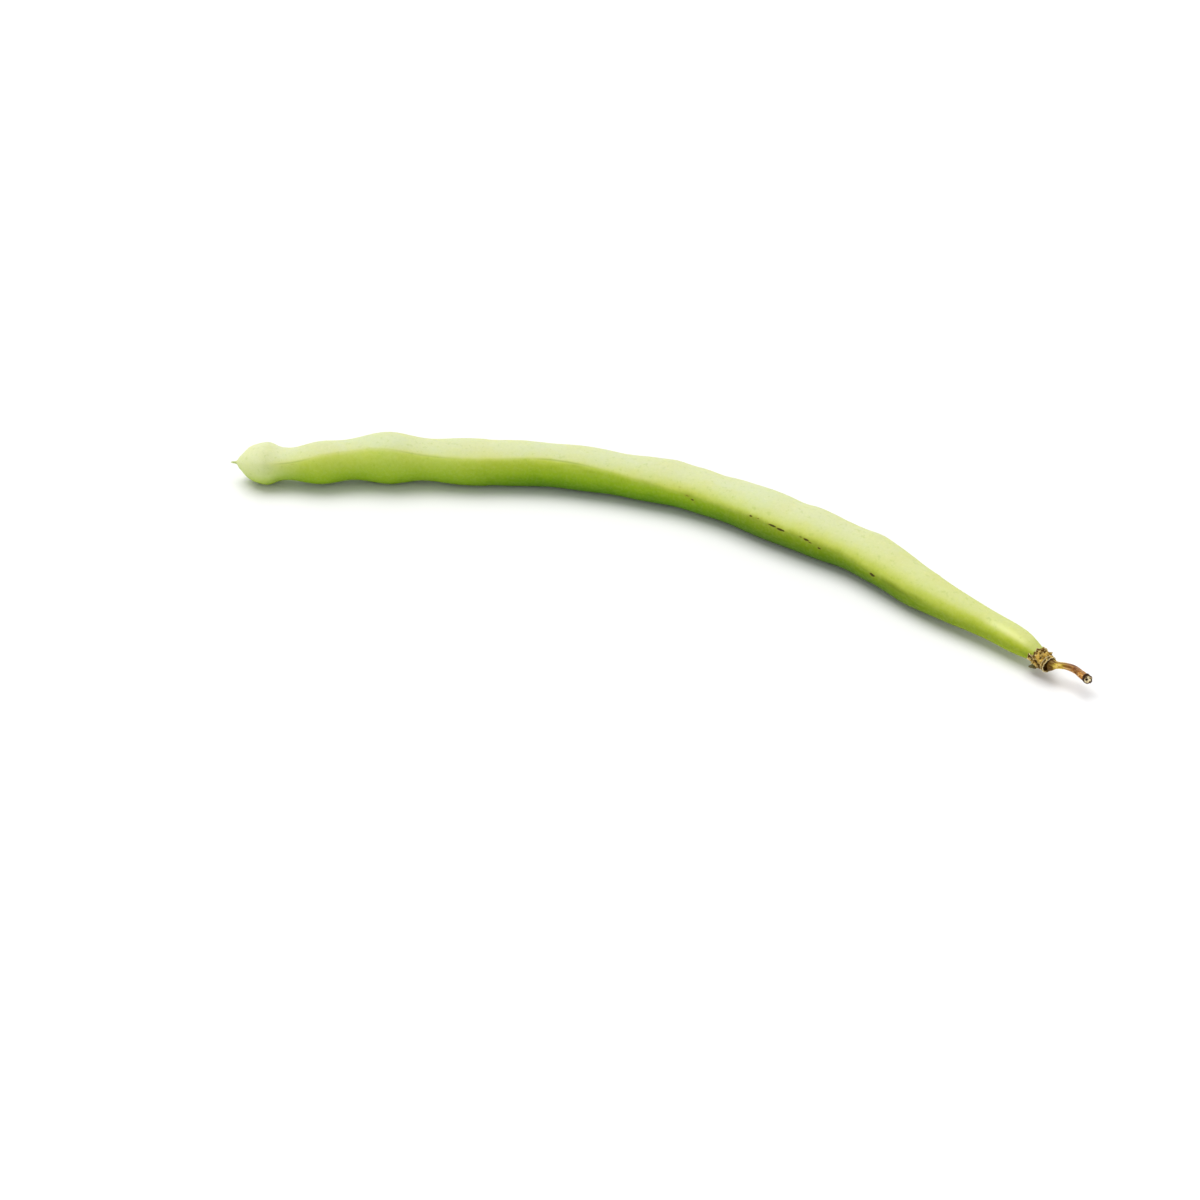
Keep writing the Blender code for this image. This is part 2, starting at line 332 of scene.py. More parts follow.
def pod_radii(along, length):
    """Half of the pod's thickness and of its height, closed at its two ends like the ends of an ellipsoid."""
    depth = np.clip(np.minimum(along, length - along) / END_ROUNDING, 0.0, 1.0)
    closing = np.sqrt(1.0 - (1.0 - depth) ** 2)
    wave = SEED_SWELL * np.cos(2 * pi * (along - FIRST_SEED) / SEED_PITCH)
    seeded = (along > FIRST_SEED - SEED_PITCH / 2) & (along < LAST_SEED + SEED_PITCH / 2)
    swell = np.where(seeded, wave, 0.0)
    base = read(HALF_THICKNESS, along)
    return (base + swell) * closing, HEIGHT_TO_THICKNESS * (base + SWELL_UPWARDS * swell) * closing


def pod_relief(rings, along, turn):
    """The height of the skin's swells, dents, ripples and pebbles above the plain pod."""
    relief = sum(lumps(rings, *kind) for kind in (DENTS, RIPPLES, PEBBLES))
    for place, angle, height, half_length in SWELLS:
        relief += height * bell(along, place, half_length) * bell(turn, angle, SWELL_HALF_ANGLE)
    return relief


def pod_spots(table, along, off_suture):
    """The strongest of the table's soft spots at each point of the skin."""
    strongest = np.zeros_like(off_suture)
    for place, off, half_length, half_width, strength in table:
        spot = strength * bell(along, place, half_length) * bell(off_suture, off, half_width)
        strongest = np.maximum(strongest, spot)
    return strongest


def facing_out(rings, across):
    """The skin's outward direction at each point of the rings."""
    round_pod = np.roll(rings, -1, axis=1) - np.roll(rings, 1, axis=1)
    facing = unit(np.cross(round_pod, np.gradient(rings, axis=0)))
    return facing * np.sign((facing * across).sum(axis=-1))[..., None]


def build_pod():
    points, along, _, sideways, above = pod_line()
    length = along[-1]
    along = np.clip(along, TIP_SETBACK, length - TIP_SETBACK)[:, None]
    half_thickness, half_height = (half[:, None] for half in pod_radii(along[:, 0], length))
    radius = (half_thickness + half_height) / 2
    suture = np.radians(read(SUTURE_ANGLE, along[:, 0]))[:, None]
    to_suture = sideways * np.cos(suture) + above * np.sin(suture)
    to_valve = above * np.cos(suture) - sideways * np.sin(suture)

    # turn is 0 at this suture and pi at the far one, and negative on the lower valve.
    even = np.linspace(-pi, pi, POD_SIDES, endpoint=False)
    turn = (even - SIDE_CROWDING * np.sin(2 * even))[None, :]
    off_far = pi - np.abs(turn)
    off_suture, off_far_suture = turn * radius, off_far * radius
    ridge = np.exp(-np.sqrt(turn**2 + RIDGE_SOFTNESS**2) / RIDGE_HALF_ANGLE)
    ridge += FAR_RIDGE * np.exp(-np.sqrt(off_far**2 + RIDGE_SOFTNESS**2) / RIDGE_HALF_ANGLE)
    out = 1.0 + read_straight(SUTURE_RIDGE, along) * ridge
    groove = bell(off_suture, 0.0, GROOVE_HALF_WIDTH)
    groove += FAR_RIDGE * bell(off_far_suture, 0.0, GROOVE_HALF_WIDTH)
    groove *= read_straight(GROOVE_DEPTH, along)

    across = (
        to_suture[:, None, :] * (half_height * np.cos(turn) * out)[..., None]
        + to_valve[:, None, :] * (half_thickness * np.sin(turn) * out)[..., None]
    )
    rings = points[:, None, :] + across
    facing = facing_out(rings, across)
    size = np.linalg.norm(across, axis=-1)
    relief = (pod_relief(rings, along, turn) - groove) * np.clip(size / RELIEF_RADIUS, 0.0, 1.0)
    rings += across / np.maximum(size, SMALLEST_RADIUS)[..., None] * relief[..., None]
    # The skin gives a little where the pod rests, so its lowest places are flat.
    rings[..., 2] = np.maximum(rings[..., 2], 0.0)

    nearer_suture = np.sign(turn) * np.minimum(np.abs(turn), off_far)
    pale_from = read_straight(PALE_FROM, along)
    return loft("pod_skin", rings, {
        "along": np.repeat(along, POD_SIDES, axis=1),
        "upward": facing[..., 2],
        "upper": np.clip(0.5 + (nearer_suture * radius - pale_from) / VALVE_BLEND, 0.0, 1.0),
        "suture": bell(off_suture, 0.0, SUTURE_HALF_WIDTH) + bell(off_far_suture, 0.0, SUTURE_HALF_WIDTH),
        "crease": np.clip(groove / FULL_CREASE, 0.0, 1.0),
        "neck_highlight": bell(along, NECK_HIGHLIGHT_ALONG, NECK_HIGHLIGHT_HALF_LENGTH, 4) * bell(turn, NECK_HIGHLIGHT_TURN, NECK_HIGHLIGHT_HALF_ANGLE),
        "scuffed": pod_spots(SCUFFS, along, off_suture),
        "shaded": pod_spots(SHADES, along, off_suture),
    })


# ---- dry scales

FLAKE_RINGS = 26
FLAKE_SIDES = 24
FLAKE_ROOT_FULLNESS = 1.15
FLAKE_TAPER = 0.75  # how much of that fullness is gone at the tip
FLAKE_WAVES = (0.1, 0.55)  # height and length of the waves in its skin


def flake(base, axes, length, half_width, half_thickness, lifts, curl, seed):
    """The rings of a small leaf-shaped dry scale with wavy edges.

    axes are its ways onward, sideways and above, and lifts how far its middle and its tip are bent up.
    """
    onward, sideways, above = axes
    middle_lift, tip_lift = lifts
    share = ((np.arange(FLAKE_RINGS) + 0.5) / FLAKE_RINGS)[:, None]
    turn = circle(FLAKE_SIDES)[None, :]
    roundness = np.sqrt(np.sin(pi * share))
    lift = middle_lift * np.sin(pi * share) + tip_lift * share**2
    wide = half_width * roundness * (FLAKE_ROOT_FULLNESS - FLAKE_TAPER * share) * np.cos(turn)
    cupped = curl * wide**2 / half_width
    thick = half_thickness * roundness * np.sin(turn)
    rings = base + onward * (length * share)[..., None] + sideways * wide[..., None]
    rings = rings + above * (thick + cupped + lift)[..., None]
    return rings + above * lumps(rings, *FLAKE_WAVES, seed)[..., None]


# ---- the calyx

# The cup from its mouth over the outside to the funnel: distance from the pod's end towards the stalk,
# radius, and how far its edge is cut into lobes.
CUP_RINGS = (
    (-0.9, 1.38, 0.0), (-1.45, 1.48, 0.6), (-1.72, 1.56, 1.0), (-1.65, 1.66, 1.0), (-1.35, 1.65, 0.6),
    (-0.9, 1.6, 0.2), (-0.2, 1.62, 0.0), (0.45, 1.52, 0.0), (0.75, 1.4, 0.0), (1.0, 1.53, 0.0),
    (1.2, 1.38, 0.0), (1.48, 1.5, 0.0), (1.6, 1.4, 0.0), (1.44, 1.28, 0.0), (0.95, 1.17, 0.0),
    (0.65, 0.95, 0.0), (0.6, 0.55, 0.0),
)
# The cup's pale edges: each one's ring in the list above, how wide it is and how strong.
CUP_EDGES = ((12, 0.13, 1.0), (9, 0.09, 0.6), (3, 0.12, 0.9))
FUNNEL_RING = 12  # painted shade darkens the funnel from this ring inwards
FUNNEL_SHADE_LENGTH = 0.5
CUP_RING_COUNT = 150
CUP_SIDES = 132

# The mouth's ragged edge: the height of each wave as a share of a lobe's, how many go round the cup, and
# where they start.
MOUTH_WAVES = ((1.0, CALYX_LOBES, pi / 2), (0.35, 3, 1.0), (0.2, 11, 0.0))
# The mouth reaches less far over the pod on this side of the cup, and further on the other.
MOUTH_TILT = 0.34
MOUTH_TILT_TURN = 1.5
# Folds down the cup: height as a share of the radius, how many go round it, how far they turn for each
# millimetre down it, and how far and how often they wander.
CUP_FOLDS = ((0.05, 9, 0.6, 2.2, 2), (0.026, 23, 1.2, 2.0, 3))
# The folds and the crumpling are full between these places, and have the share EDGE_FOLDS near the ends.
FOLDS_FROM = -2.0
FOLDS_TO = 0.9
FOLDS_BLEND = 0.6
EDGE_FOLDS = 0.25

# The crumpling follows noise that is drawn out along the cup and turns round it.
CUP_TWIST = 0.35
CUP_FOLD_SHARE = 0.45
CRUMPLE_RIDGE = 0.20
CRUMPLE_DEPTH = 0.62
CRUMPLE_LENGTH = 0.75
CRUMPLE_SEED = 11
CUP_WRINKLES = (0.12, 0.4, 12)
CUP_GRAIN = (0.05, 0.3, 13)
CUP_SHIFTS = (0.1, 1.3, 14)
HOLLOW_FROM = 0.01  # painted shade darkens the crumpled skin below this height
HOLLOW_DEPTH = 0.10

# Shrivelled tips of the sepals and crumbs of dry skin on the cup: distance from the pod's end, angle round
# the cup, length, half width, lift of the middle, lift of the tip, twist of the way it points, and how far
# its edges curl up.
SEPALS = (
    (-0.95, 0.17, 1.3, 0.6, 0.2, 0.08, 0.18, 1.3),
    (-0.9, 1.1, 0.6, 0.42, 0.1, 0.0, 0.2, -0.5),
    (-0.8, 2.35, 0.6, 0.34, 0.12, 0.02, 0.15, -0.5),
    (-1.2, 3.75, 0.8, 0.45, 0.12, 0.05, -0.1, 0.6),
    (-1.2, 5.05, 0.75, 0.45, 0.12, 0.1, 0.1, -0.5),
    (-0.65, 0.55, 0.95, 0.32, 0.2, 0.0, 0.5, -0.5),
    (-0.45, 2.1, 0.75, 0.28, 0.14, 0.05, -0.7, 0.5),
    (0.2, 2.35, 0.4, 0.2, 0.2, 0.35, 1.2, -0.5),
    (-0.1, 1.55, 0.8, 0.22, 0.16, 0.02, 0.9, -0.5),
    (0.2, 0.8, 0.9, 0.2, 0.12, 0.0, 1.25, -0.5),
    (0.1, 5.6, 0.8, 0.24, 0.14, 0.02, -0.9, -0.5),
    (-0.4, 4.6, 0.9, 0.26, 0.14, 0.02, 0.6, -0.5),
)
SEPAL_RADIUS = 1.56
FIRST_SEPAL_SEED = 40  # of the sepals' waves; each has the next one
SEPAL_HALF_THICKNESS = 0.13
# A curled-up sepal is hollow along its middle, with painted shade there, and pale at its edges, by how
# far across it a place is.
SCOOP_DEPTH = 1.25
SCOOP_FALL = 1.9
SEPAL_EDGE_FROM = 0.75
SEPAL_EDGE_WIDTH = 0.2


def cup(end, onward, beside, over):
    """The dried cup's rings, from inside its mouth over its crumpled outside to the funnel."""
    profile = np.array(CUP_RINGS)
    knots = np.concatenate([[0.0], np.cumsum(np.linalg.norm(np.diff(profile[:, :2], axis=0), axis=1))])
    places = np.linspace(0.0, knots[-1], CUP_RING_COUNT)
    distance, radius, lobed = spline(knots, profile, places).T[:, :, None]
    places = places[:, None]
    lobed = np.clip(lobed, 0.0, 1.0)
    turn = circle(CUP_SIDES)
    across = (beside * np.cos(turn)[:, None] + over * np.sin(turn)[:, None])[None, :, :]

    waves = sum(height * np.sin(count * turn + start) for height, count, start in MOUTH_WAVES)
    reach = distance - CALYX_LOBE_LENGTH * lobed * waves + MOUTH_TILT * lobed * np.cos(turn - MOUTH_TILT_TURN)
    body = rise(distance, FOLDS_FROM, FOLDS_BLEND) * rise(distance, FOLDS_TO, -FOLDS_BLEND)
    folded = EDGE_FOLDS + (1.0 - EDGE_FOLDS) * body
    folds = sum(
        height * np.sin(count * turn + lean * distance + wander * np.sin(often * turn))
        for height, count, lean, wander, often in CUP_FOLDS
    )
    rings = end + onward * reach[..., None] + across * (radius * (1.0 + folds * folded))[..., None]

    twisted = turn + CUP_TWIST * distance
    drawn_out = np.broadcast_to(distance * CUP_FOLD_SHARE, twisted.shape)
    turned = np.stack([drawn_out, radius * np.cos(twisted), radius * np.sin(twisted)], axis=-1)
    rough = folded * (CRUMPLE_RIDGE - CRUMPLE_DEPTH * np.abs(noise_at(turned, CRUMPLE_LENGTH, CRUMPLE_SEED)))
    rough += lumps(turned, *CUP_WRINKLES) + lumps(rings, *CUP_GRAIN)
    rings = rings + across * rough[..., None]
    rings = rings + onward * lumps(rings, *CUP_SHIFTS)[..., None]

    whole = np.ones_like(rough)
    rim = sum(strength * bell(places, knots[number], width) for number, width, strength in CUP_EDGES)
    return rings, {
        "hollow": rise(rough, HOLLOW_FROM, -HOLLOW_DEPTH),
        "inside": rise(places, knots[FUNNEL_RING], FUNNEL_SHADE_LENGTH) * whole,
        "rim": np.clip(rim, 0.0, 1.0) * whole,
        "tip": 0.0 * whole,
    }


def sepal(row, seed, end, onward, beside, over):
    """The rings of one shrivelled tip or crumb on the cup."""
    place, angle, length, half_width, middle_lift, tip_lift, twist, curl = row
    out = beside * cos(angle) + over * sin(angle)
    round_cup = over * cos(angle) - beside * sin(angle)
    base = end + onward * place + out * SEPAL_RADIUS
    axes = round_cup * sin(twist) - onward * cos(twist), round_cup * cos(twist) + onward * sin(twist), out
    rings = flake(base, axes, length, half_width, SEPAL_HALF_THICKNESS, (middle_lift, tip_lift), curl, seed)
    whole = np.ones(rings.shape[:2])
    share = np.linspace(0.0, 1.0, FLAKE_RINGS)[:, None] * whole
    off_middle = np.abs(np.cos(circle(FLAKE_SIDES)))[None, :] * whole
    scooped = np.clip(SCOOP_DEPTH - SCOOP_FALL * off_middle, 0.0, 1.0) * np.sin(pi * share) ** 0.5
    return rings, {
        "hollow": np.clip(curl, 0.0, 1.0) * scooped,
        "inside": 0.0 * whole,
        "rim": (curl > 0.0) * rise(off_middle, SEPAL_EDGE_FROM, SEPAL_EDGE_WIDTH),
        "tip": (curl < 0.0) * share,
    }


def build_calyx():
    end, _, onward, beside, over = (rows[-1] for rows in pod_line())
    sepals = [sepal(row, FIRST_SEPAL_SEED + k, end, onward, beside, over) for k, row in enumerate(SEPALS)]
    return joined("calyx_dried", [cup(end, onward, beside, over), *sepals])


# ---- the flower stalk

STALK_RINGS = 170
STALK_SIDES = 52
ROOT_FLARE = 0.44
ROOT_FLARE_PLACE = 0.40
ROOT_FLARE_LENGTH = 0.62
ROOT_END = 0.5  # the first ring is narrowed to this share
# Ribs down the stalk: height as a share of the radius, how many go round it and how far they turn in all.
STALK_RIBS = ((0.04, 6, 4.0), (0.025, 13, -6.0))
# The collar before the scar, a ridge after a neck: place, half length and height, as shares of the stalk's
# length and radius.
STALK_COLLAR = ((0.95, 0.03, 0.04), (0.88, 0.04, -0.06))
STALK_LUMPS = (0.045, 0.9, 21)
STALK_GRAIN = (0.03, 0.32, 22)

# Near its end the stalk turns towards the way the scar faces, and its skin is torn: both start at a share of
# its length. The torn skin stands up more than it sinks in, and where it is torn most it also shifts along.
SCAR_FACING = (0.25, -0.55, 0.42)
TURNED_FROM = 0.88
TORN_FROM = 0.86
TORN_SPAN = 0.1
TORN_LUMPS = (0.15, 0.5, 23)
TORN_LOWEST = -0.0375
TORN_SHIFTS = (0.18, 0.45, 24)
SHIFTED_FROM = 0.9
# The scar at the stalk's end: how far each ring is set inward, its share of the end's radius, how far it is
# in the dark pore, how far it is in the pale flesh and how torn it is.
SCAR = (
    (0.1, 0.88, 0.0, 0.0, 1.0),
    (-0.02, 0.8, 0.0, 0.35, 1.0),
    (-0.08, 0.71, 0.0, 1.0, 1.0),
    (-0.04, 0.62, 0.0, 1.0, 1.0),
    (0.02, 0.54, 0.0, 1.0, 1.0),
    (0.02, 0.45, 0.1, 1.0, 1.0),
    (0.0, 0.36, 0.2, 1.0, 0.3),
    (0.04, 0.28, 0.6, 1.0, 0.3),
    (0.18, 0.21, 1.0, 1.0, 0.3),
    (0.34, 0.14, 1.0, 1.0, 0.3),
    (0.4, 0.06, 1.0, 1.0, 0.3),
)
PORE_OFFSET = (-0.34, 0.0, -0.12)
# The scar's second, shallow spot, and the dark edge on the side of its rim that faces one way.
SPOT_OFFSET = (0.24, -0.1, 0.26)
SPOT_RADIUS = 0.17
SPOT_STRENGTH = 0.6
DARK_EDGE_SIDE = (-0.85, 0.1, -0.25)
DARK_EDGE_FROM = 0.60
DARK_EDGE_SPAN = 0.25
RIM_SHARE = 0.7  # the scar's rim is those of its rings that are wider than this
# Shreds of skin round the scar: offset from the stalk's end, the way each points, length, half width, the
# lift of its tip, how far its edges curl, and how pale it is.
SHREDS = (
    ((0.22, -0.02, 0.24), (0.62, -0.1, 0.62), 0.62, 0.24, 0.06, -1.0, 0.3),
    ((0.24, -0.1, -0.24), (0.6, -0.4, -0.4), 0.42, 0.2, 0.04, -0.5, 0.0),
    ((-0.4, 0.06, 0.18), (-0.1, -0.6, 0.7), 0.36, 0.24, 0.05, -0.4, 0.0),
    ((-0.42, 0.04, -0.16), (0.05, -0.9, 0.2), 0.34, 0.26, 0.04, -0.4, 0.0),
)
SHRED_HALF_THICKNESS = 0.06
SHRED_LIFT = 0.02
FIRST_SHRED_SEED = 60

# A dark streak down the side of the stalk: the way it faces, how wide it is, its middle and its half length.
STREAK_FACING = (0.09, -0.81, 0.58)
STREAK_WIDTH = 0.10
STREAK_MIDDLE = 3.5
STREAK_HALF_LENGTH = 1.5
TOPMOST_FROM = 0.80  # the top of the stalk is where its skin faces up more than this
TOPMOST_SPAN = 0.15


def shaft():
    """The stalk's rings up to the scar, the way each point of them faces and their distances along it."""
    points, along, directions = path_through(STALK, np.linspace(0.0, 1.0, STALK_RINGS))
    along = along[:, None]
    share = along / along[-1]
    turn = circle(STALK_SIDES)
    ribs = sum(height * np.sin(count * turn + twist * share) for height, count, twist in STALK_RIBS)
    collar = sum(height * bell(share, place, half) for place, half, height in STALK_COLLAR)
    size = points[:, 3:] * (1.0 + ribs + collar)
    size += ROOT_FLARE * bell(along, ROOT_FLARE_PLACE, ROOT_FLARE_LENGTH)
    size[0] *= ROOT_END
    turned = rise(share, TURNED_FROM, 1.0 - TURNED_FROM) ** 2
    axis = unit(directions * (1.0 - turned) + unit(SCAR_FACING) * turned)
    sideways, above = (vectors[:, None, :] for vectors in frames(axis))
    across = sideways * np.cos(turn)[:, None] + above * np.sin(turn)[:, None]
    return points[:, None, :3] + across * size[..., None], across, along


def build_stalk():
    rings, across, along = shaft()
    centre, facing = np.array(STALK[-1][:3]), unit(SCAR_FACING)
    inward, narrower, pore, cut, torn = np.array(SCAR).T[:, :, None]
    sunk = centre - facing * inward + np.array(PORE_OFFSET) * (1.0 - narrower)
    scar = sunk[:, None, :] + (rings[-1] - centre) * narrower[..., None]
    rings = np.concatenate([rings, scar])
    across = np.concatenate([across, np.repeat(across[-1:], len(SCAR), axis=0)])
    distance = np.concatenate([along, np.full((len(SCAR), 1), along[-1])])

    torn = np.concatenate([rise(along / along[-1], TORN_FROM, TORN_SPAN), torn])
    rough = lumps(rings, *STALK_LUMPS) + lumps(rings, *STALK_GRAIN)
    rough += torn * np.maximum(lumps(rings, *TORN_LUMPS), TORN_LOWEST)
    rings = rings + across * rough[..., None]
    rings = rings + facing * (torn * (torn > SHIFTED_FROM) * lumps(rings, *TORN_SHIFTS))[..., None]

    none, whole = np.zeros((STALK_RINGS, 1)), np.ones(rings.shape[:2])
    on_rim = np.concatenate([none + 1.0, narrower > RIM_SHARE])
    dark_edge = on_rim * rise(across @ np.array(DARK_EDGE_SIDE), DARK_EDGE_FROM, DARK_EDGE_SPAN)
    cut = np.concatenate([none, cut]) * (1.0 - dark_edge)
    off_spot = np.linalg.norm(rings - centre - np.array(SPOT_OFFSET), axis=-1)
    spot = SPOT_STRENGTH * bell(off_spot, 0.0, SPOT_RADIUS) * (cut > 0.5)
    streak = np.exp((across @ np.array(STREAK_FACING) - 1.0) / STREAK_WIDTH)
    parts = [(rings, {
        "along": distance * whole,
        "pore": np.maximum(np.concatenate([none, pore]), spot),
        "cut": cut,
        "streak": streak * bell(distance, STREAK_MIDDLE, STREAK_HALF_LENGTH, 4),
        "topmost": rise(across[..., 2], TOPMOST_FROM, TOPMOST_SPAN) * (1.0 - cut),
    })]
    parts += [shred(row, FIRST_SHRED_SEED + k, centre, facing, along[-1]) for k, row in enumerate(SHREDS)]
    return joined("flower_stalk", parts)


def shred(row, seed, centre, facing, length_along):
    """The rings of one shred of skin round the scar."""
    offset, way, length, half_width, tip_lift, curl, pale = row
    way = unit(way)
    side = unit(np.cross(way, facing))
    axes = way, side, np.cross(side, way)
    base = centre + np.array(offset)
    rings = flake(base, axes, length, half_width, SHRED_HALF_THICKNESS, (SHRED_LIFT, tip_lift), curl, seed)
    values = {"along": length_along, "pore": 0.0, "cut": pale, "streak": 0.0, "topmost": 0.0}
    return rings, {name: value * np.ones(rings.shape[:2]) for name, value in values.items()}


# ---- the bracteole

BRACTEOLE_RINGS = 44
BRACTEOLE_SIDES = 40
BRACTEOLE_STRETCH = 1.25  # its length as a share of the one in part.py
BRACTEOLE_LIFT = (0.3, 0.05, 0.37)  # how far it is moved from there
BRACTEOLE_WAVE = 0.12  # its edges' waves, as a share of its width
BRACTEOLE_WAVES = 9
BRACTEOLE_LUMPS = (0.05, 0.5, 31)


def build_bracteole():
    base, tip = np.array(BRACTEOLE_BASE), np.array(BRACTEOLE_TIP)
    onward = (tip - base) * BRACTEOLE_STRETCH
    sideways, above = (vectors[0] for vectors in frames(unit(onward)[None, :]))
    share = ((np.arange(BRACTEOLE_RINGS) + 0.5) / BRACTEOLE_RINGS)[:, None]
    turn = circle(BRACTEOLE_SIDES)[None, :]
    fullness = np.sqrt(np.sin(pi * share))
    arch = BRACTEOLE_ARCH * (np.sin(pi * share) - np.cos(turn) ** 2)
    wavy = 1.0 + BRACTEOLE_WAVE * np.sin(BRACTEOLE_WAVES * share)
    wide = BRACTEOLE_HALF_WIDTH * fullness * np.cos(turn) * wavy
    thick = BRACTEOLE_HALF_THICKNESS * fullness * np.sin(turn) + arch
    rings = base + np.array(BRACTEOLE_LIFT) + onward * share[..., None]
    rings = rings + sideways * wide[..., None] + above * thick[..., None]
    rings = rings + above * lumps(rings, *BRACTEOLE_LUMPS)[..., None]
    return loft("bracteole_flake", rings, {"share": np.repeat(share, BRACTEOLE_SIDES, axis=1)})


# ---- shader nodes

class Nodes:
    """A new material and short ways to add the shader nodes that the finishes use."""

    def __init__(self, name):
        self.material = bpy.data.materials.new(name)
        self.material.use_nodes = True
        self.tree = self.material.node_tree
        self.shader = self.tree.nodes["Principled BSDF"]

    def add(self, kind, **settings):
        node = self.tree.nodes.new(kind)
        for key, value in settings.items():
            setattr(node, key, value)
        return node

    def put(self, socket, value):
        """Link the socket to another one, or set it to a number or a colour."""
        if isinstance(value, bpy.types.NodeSocket):
            self.tree.links.new(value, socket)
        elif isinstance(value, tuple) and len(value) == 3 and socket.type == "RGBA":
            socket.default_value = (*value, 1.0)
        else:
            socket.default_value = value

    def surface(self, **values):
        """Set the shader's sockets, named in lower case with _ for each space."""
        for name, value in values.items():
            title = "Specular IOR Level" if name == "specular" else name.replace("_", " ").title()
            self.put(self.shader.inputs[title], value)

    def place(self):
        """Where a point of the piece is, in metres."""
        return self.add("ShaderNodeTexCoord").outputs["Object"]

    def attribute(self, name):
        return self.add("ShaderNodeAttribute", attribute_name=name).outputs["Fac"]

    def stretched(self, scale):
        """The place, its noise drawn out along each axis whose scale is less than 1."""
        node = self.add("ShaderNodeMapping")
        self.put(node.inputs["Vector"], self.place())
        node.inputs["Scale"].default_value = scale
        return node.outputs["Vector"]

    def noise(self, length, detail=2.0, roughness=0.5, place=None, distortion=0.0):
        """Noise from 0 to 1, its lumps about length millimetres across."""
        node = self.add("ShaderNodeTexNoise")
        self.put(node.inputs["Vector"], place or self.place())
        node.inputs["Scale"].default_value = 1.0 / (length * MM)
        node.inputs["Detail"].default_value = detail
        node.inputs["Roughness"].default_value = roughness
        node.inputs["Distortion"].default_value = distortion
        return node.outputs["Fac"]

    def cells(self, length):
        """The distance from the middle of the nearest cell, the cells being about length across."""
        node = self.add("ShaderNodeTexVoronoi")
        self.put(node.inputs["Vector"], self.place())
        node.inputs["Scale"].default_value = 1.0 / (length * MM)
        return node.outputs["Distance"]

    def math(self, operation, first, second, clamp=False):
        node = self.add("ShaderNodeMath", operation=operation, use_clamp=clamp)
        self.put(node.inputs[0], first)
        self.put(node.inputs[1], second)
        return node.outputs[0]

    def shaken(self, value, shake, span):
        """value moved up and down by a noise from 0 to 1, whose whole range counts for span."""
        return self.math("ADD", value, self.math("MULTIPLY", self.math("SUBTRACT", shake, 0.5), span))

    def between(self, value, low, high, to_low=0.0, to_high=1.0):
        """value carried from low..high to to_low..to_high, smoothly and without going past them."""
        node = self.add("ShaderNodeMapRange", interpolation_type="SMOOTHSTEP", clamp=True)
        for name, number in (
            ("Value", value), ("From Min", low), ("From Max", high), ("To Min", to_low), ("To Max", to_high),
        ):
            self.put(node.inputs[name], number)
        return node.outputs["Result"]

    def mix(self, factor, first, second, blend="MIX"):
        node = self.add("ShaderNodeMix", data_type="RGBA", blend_type=blend)
        self.put(node.inputs["Factor"], factor)
        self.put(node.inputs[6], first)
        self.put(node.inputs[7], second)
        return node.outputs[2]

    def over(self, color, mask, strength, paint):
        """color with paint laid over it where mask is."""
        return self.mix(self.math("MULTIPLY", mask, strength), color, paint)

    def tinted(self, color, factor, tint):
        """color multiplied by tint, by factor."""
        return self.mix(factor, color, self.mix(1.0, color, tint, "MULTIPLY"))

    def ramp(self, value, stops):
        """A colour for value from a row of (value, colour) stops."""
        first, last = stops[0][0], stops[-1][0]
        node = self.add("ShaderNodeValToRGB")
        share = self.math("DIVIDE", self.math("SUBTRACT", value, first), last - first, clamp=True)
        self.put(node.inputs["Fac"], share)
        elements = node.color_ramp.elements
        for place, _ in stops[1:-1]:
            elements.new((place - first) / (last - first))
        for element, (_, color) in zip(elements, stops):
            element.color = (*color, 1.0)
        return node.outputs["Color"]

    def bump(self, height, distance, strength, under=None):
        """The normal over a relief whose full height is distance, on top of another one if it is given."""
        node = self.add("ShaderNodeBump")
        self.put(node.inputs["Height"], height)
        node.inputs["Distance"].default_value = distance * MM
        node.inputs["Strength"].default_value = strength
        if under:
            self.put(node.inputs["Normal"], under)
        return node.outputs["Normal"]


# ---- the skin's finish

# Colours of the skin by how far it faces up, from -1 facing down to 1 facing up: the pod's greens with
# painted light and shade, paler where the skin faces up and darker where it faces down.
UPPER_VALVE_SHADED_GREENS = (
    (-0.7, (0.16, 0.33, 0.009)),
    (-0.3, (0.26, 0.42, 0.021)),
    (0.0, (0.37, 0.5, 0.045)),
    (0.3, (0.47, 0.57, 0.088)),
    (0.5, (0.545, 0.63, 0.14)),
    (0.67, (0.605, 0.675, 0.25)),
    (0.8, (0.615, 0.675, 0.32)),
    (1.0, (0.615, 0.665, 0.41)),
)
LOWER_VALVE_SHADED_GREENS = (
    (-0.6, (0.095, 0.23, 0.002)),
    (-0.3, (0.15, 0.3, 0.003)),
    (0.0, (0.262, 0.425, 0.012)),
    (0.3, (0.37, 0.5, 0.037)),
    (0.5, (0.49, 0.6, 0.085)),
    (0.75, (0.6, 0.665, 0.19)),
    (1.0, (0.62, 0.65, 0.34)),
)
LOWER_VALVE_NEAR_BEAK_SHADED_GREENS = (
    (-0.6, (0.225, 0.39, 0.008)),
    (-0.3, (0.285, 0.445, 0.025)),
    (0.0, (0.375, 0.52, 0.052)),
    (0.3, (0.475, 0.6, 0.09)),
    (0.5, (0.545, 0.655, 0.13)),
    (0.75, (0.62, 0.68, 0.22)),
    (1.0, (0.62, 0.65, 0.35)),
)
BEAK_BULB_SHADED_GREENS = (
    (-0.7, (0.36, 0.5, 0.065)),
    (-0.45, (0.47, 0.6, 0.145)),
    (-0.2, (0.6, 0.7, 0.28)),
    (0.2, (0.68, 0.75, 0.39)),
    (0.6, (0.68, 0.735, 0.43)),
    (1.0, (0.66, 0.71, 0.47)),
)
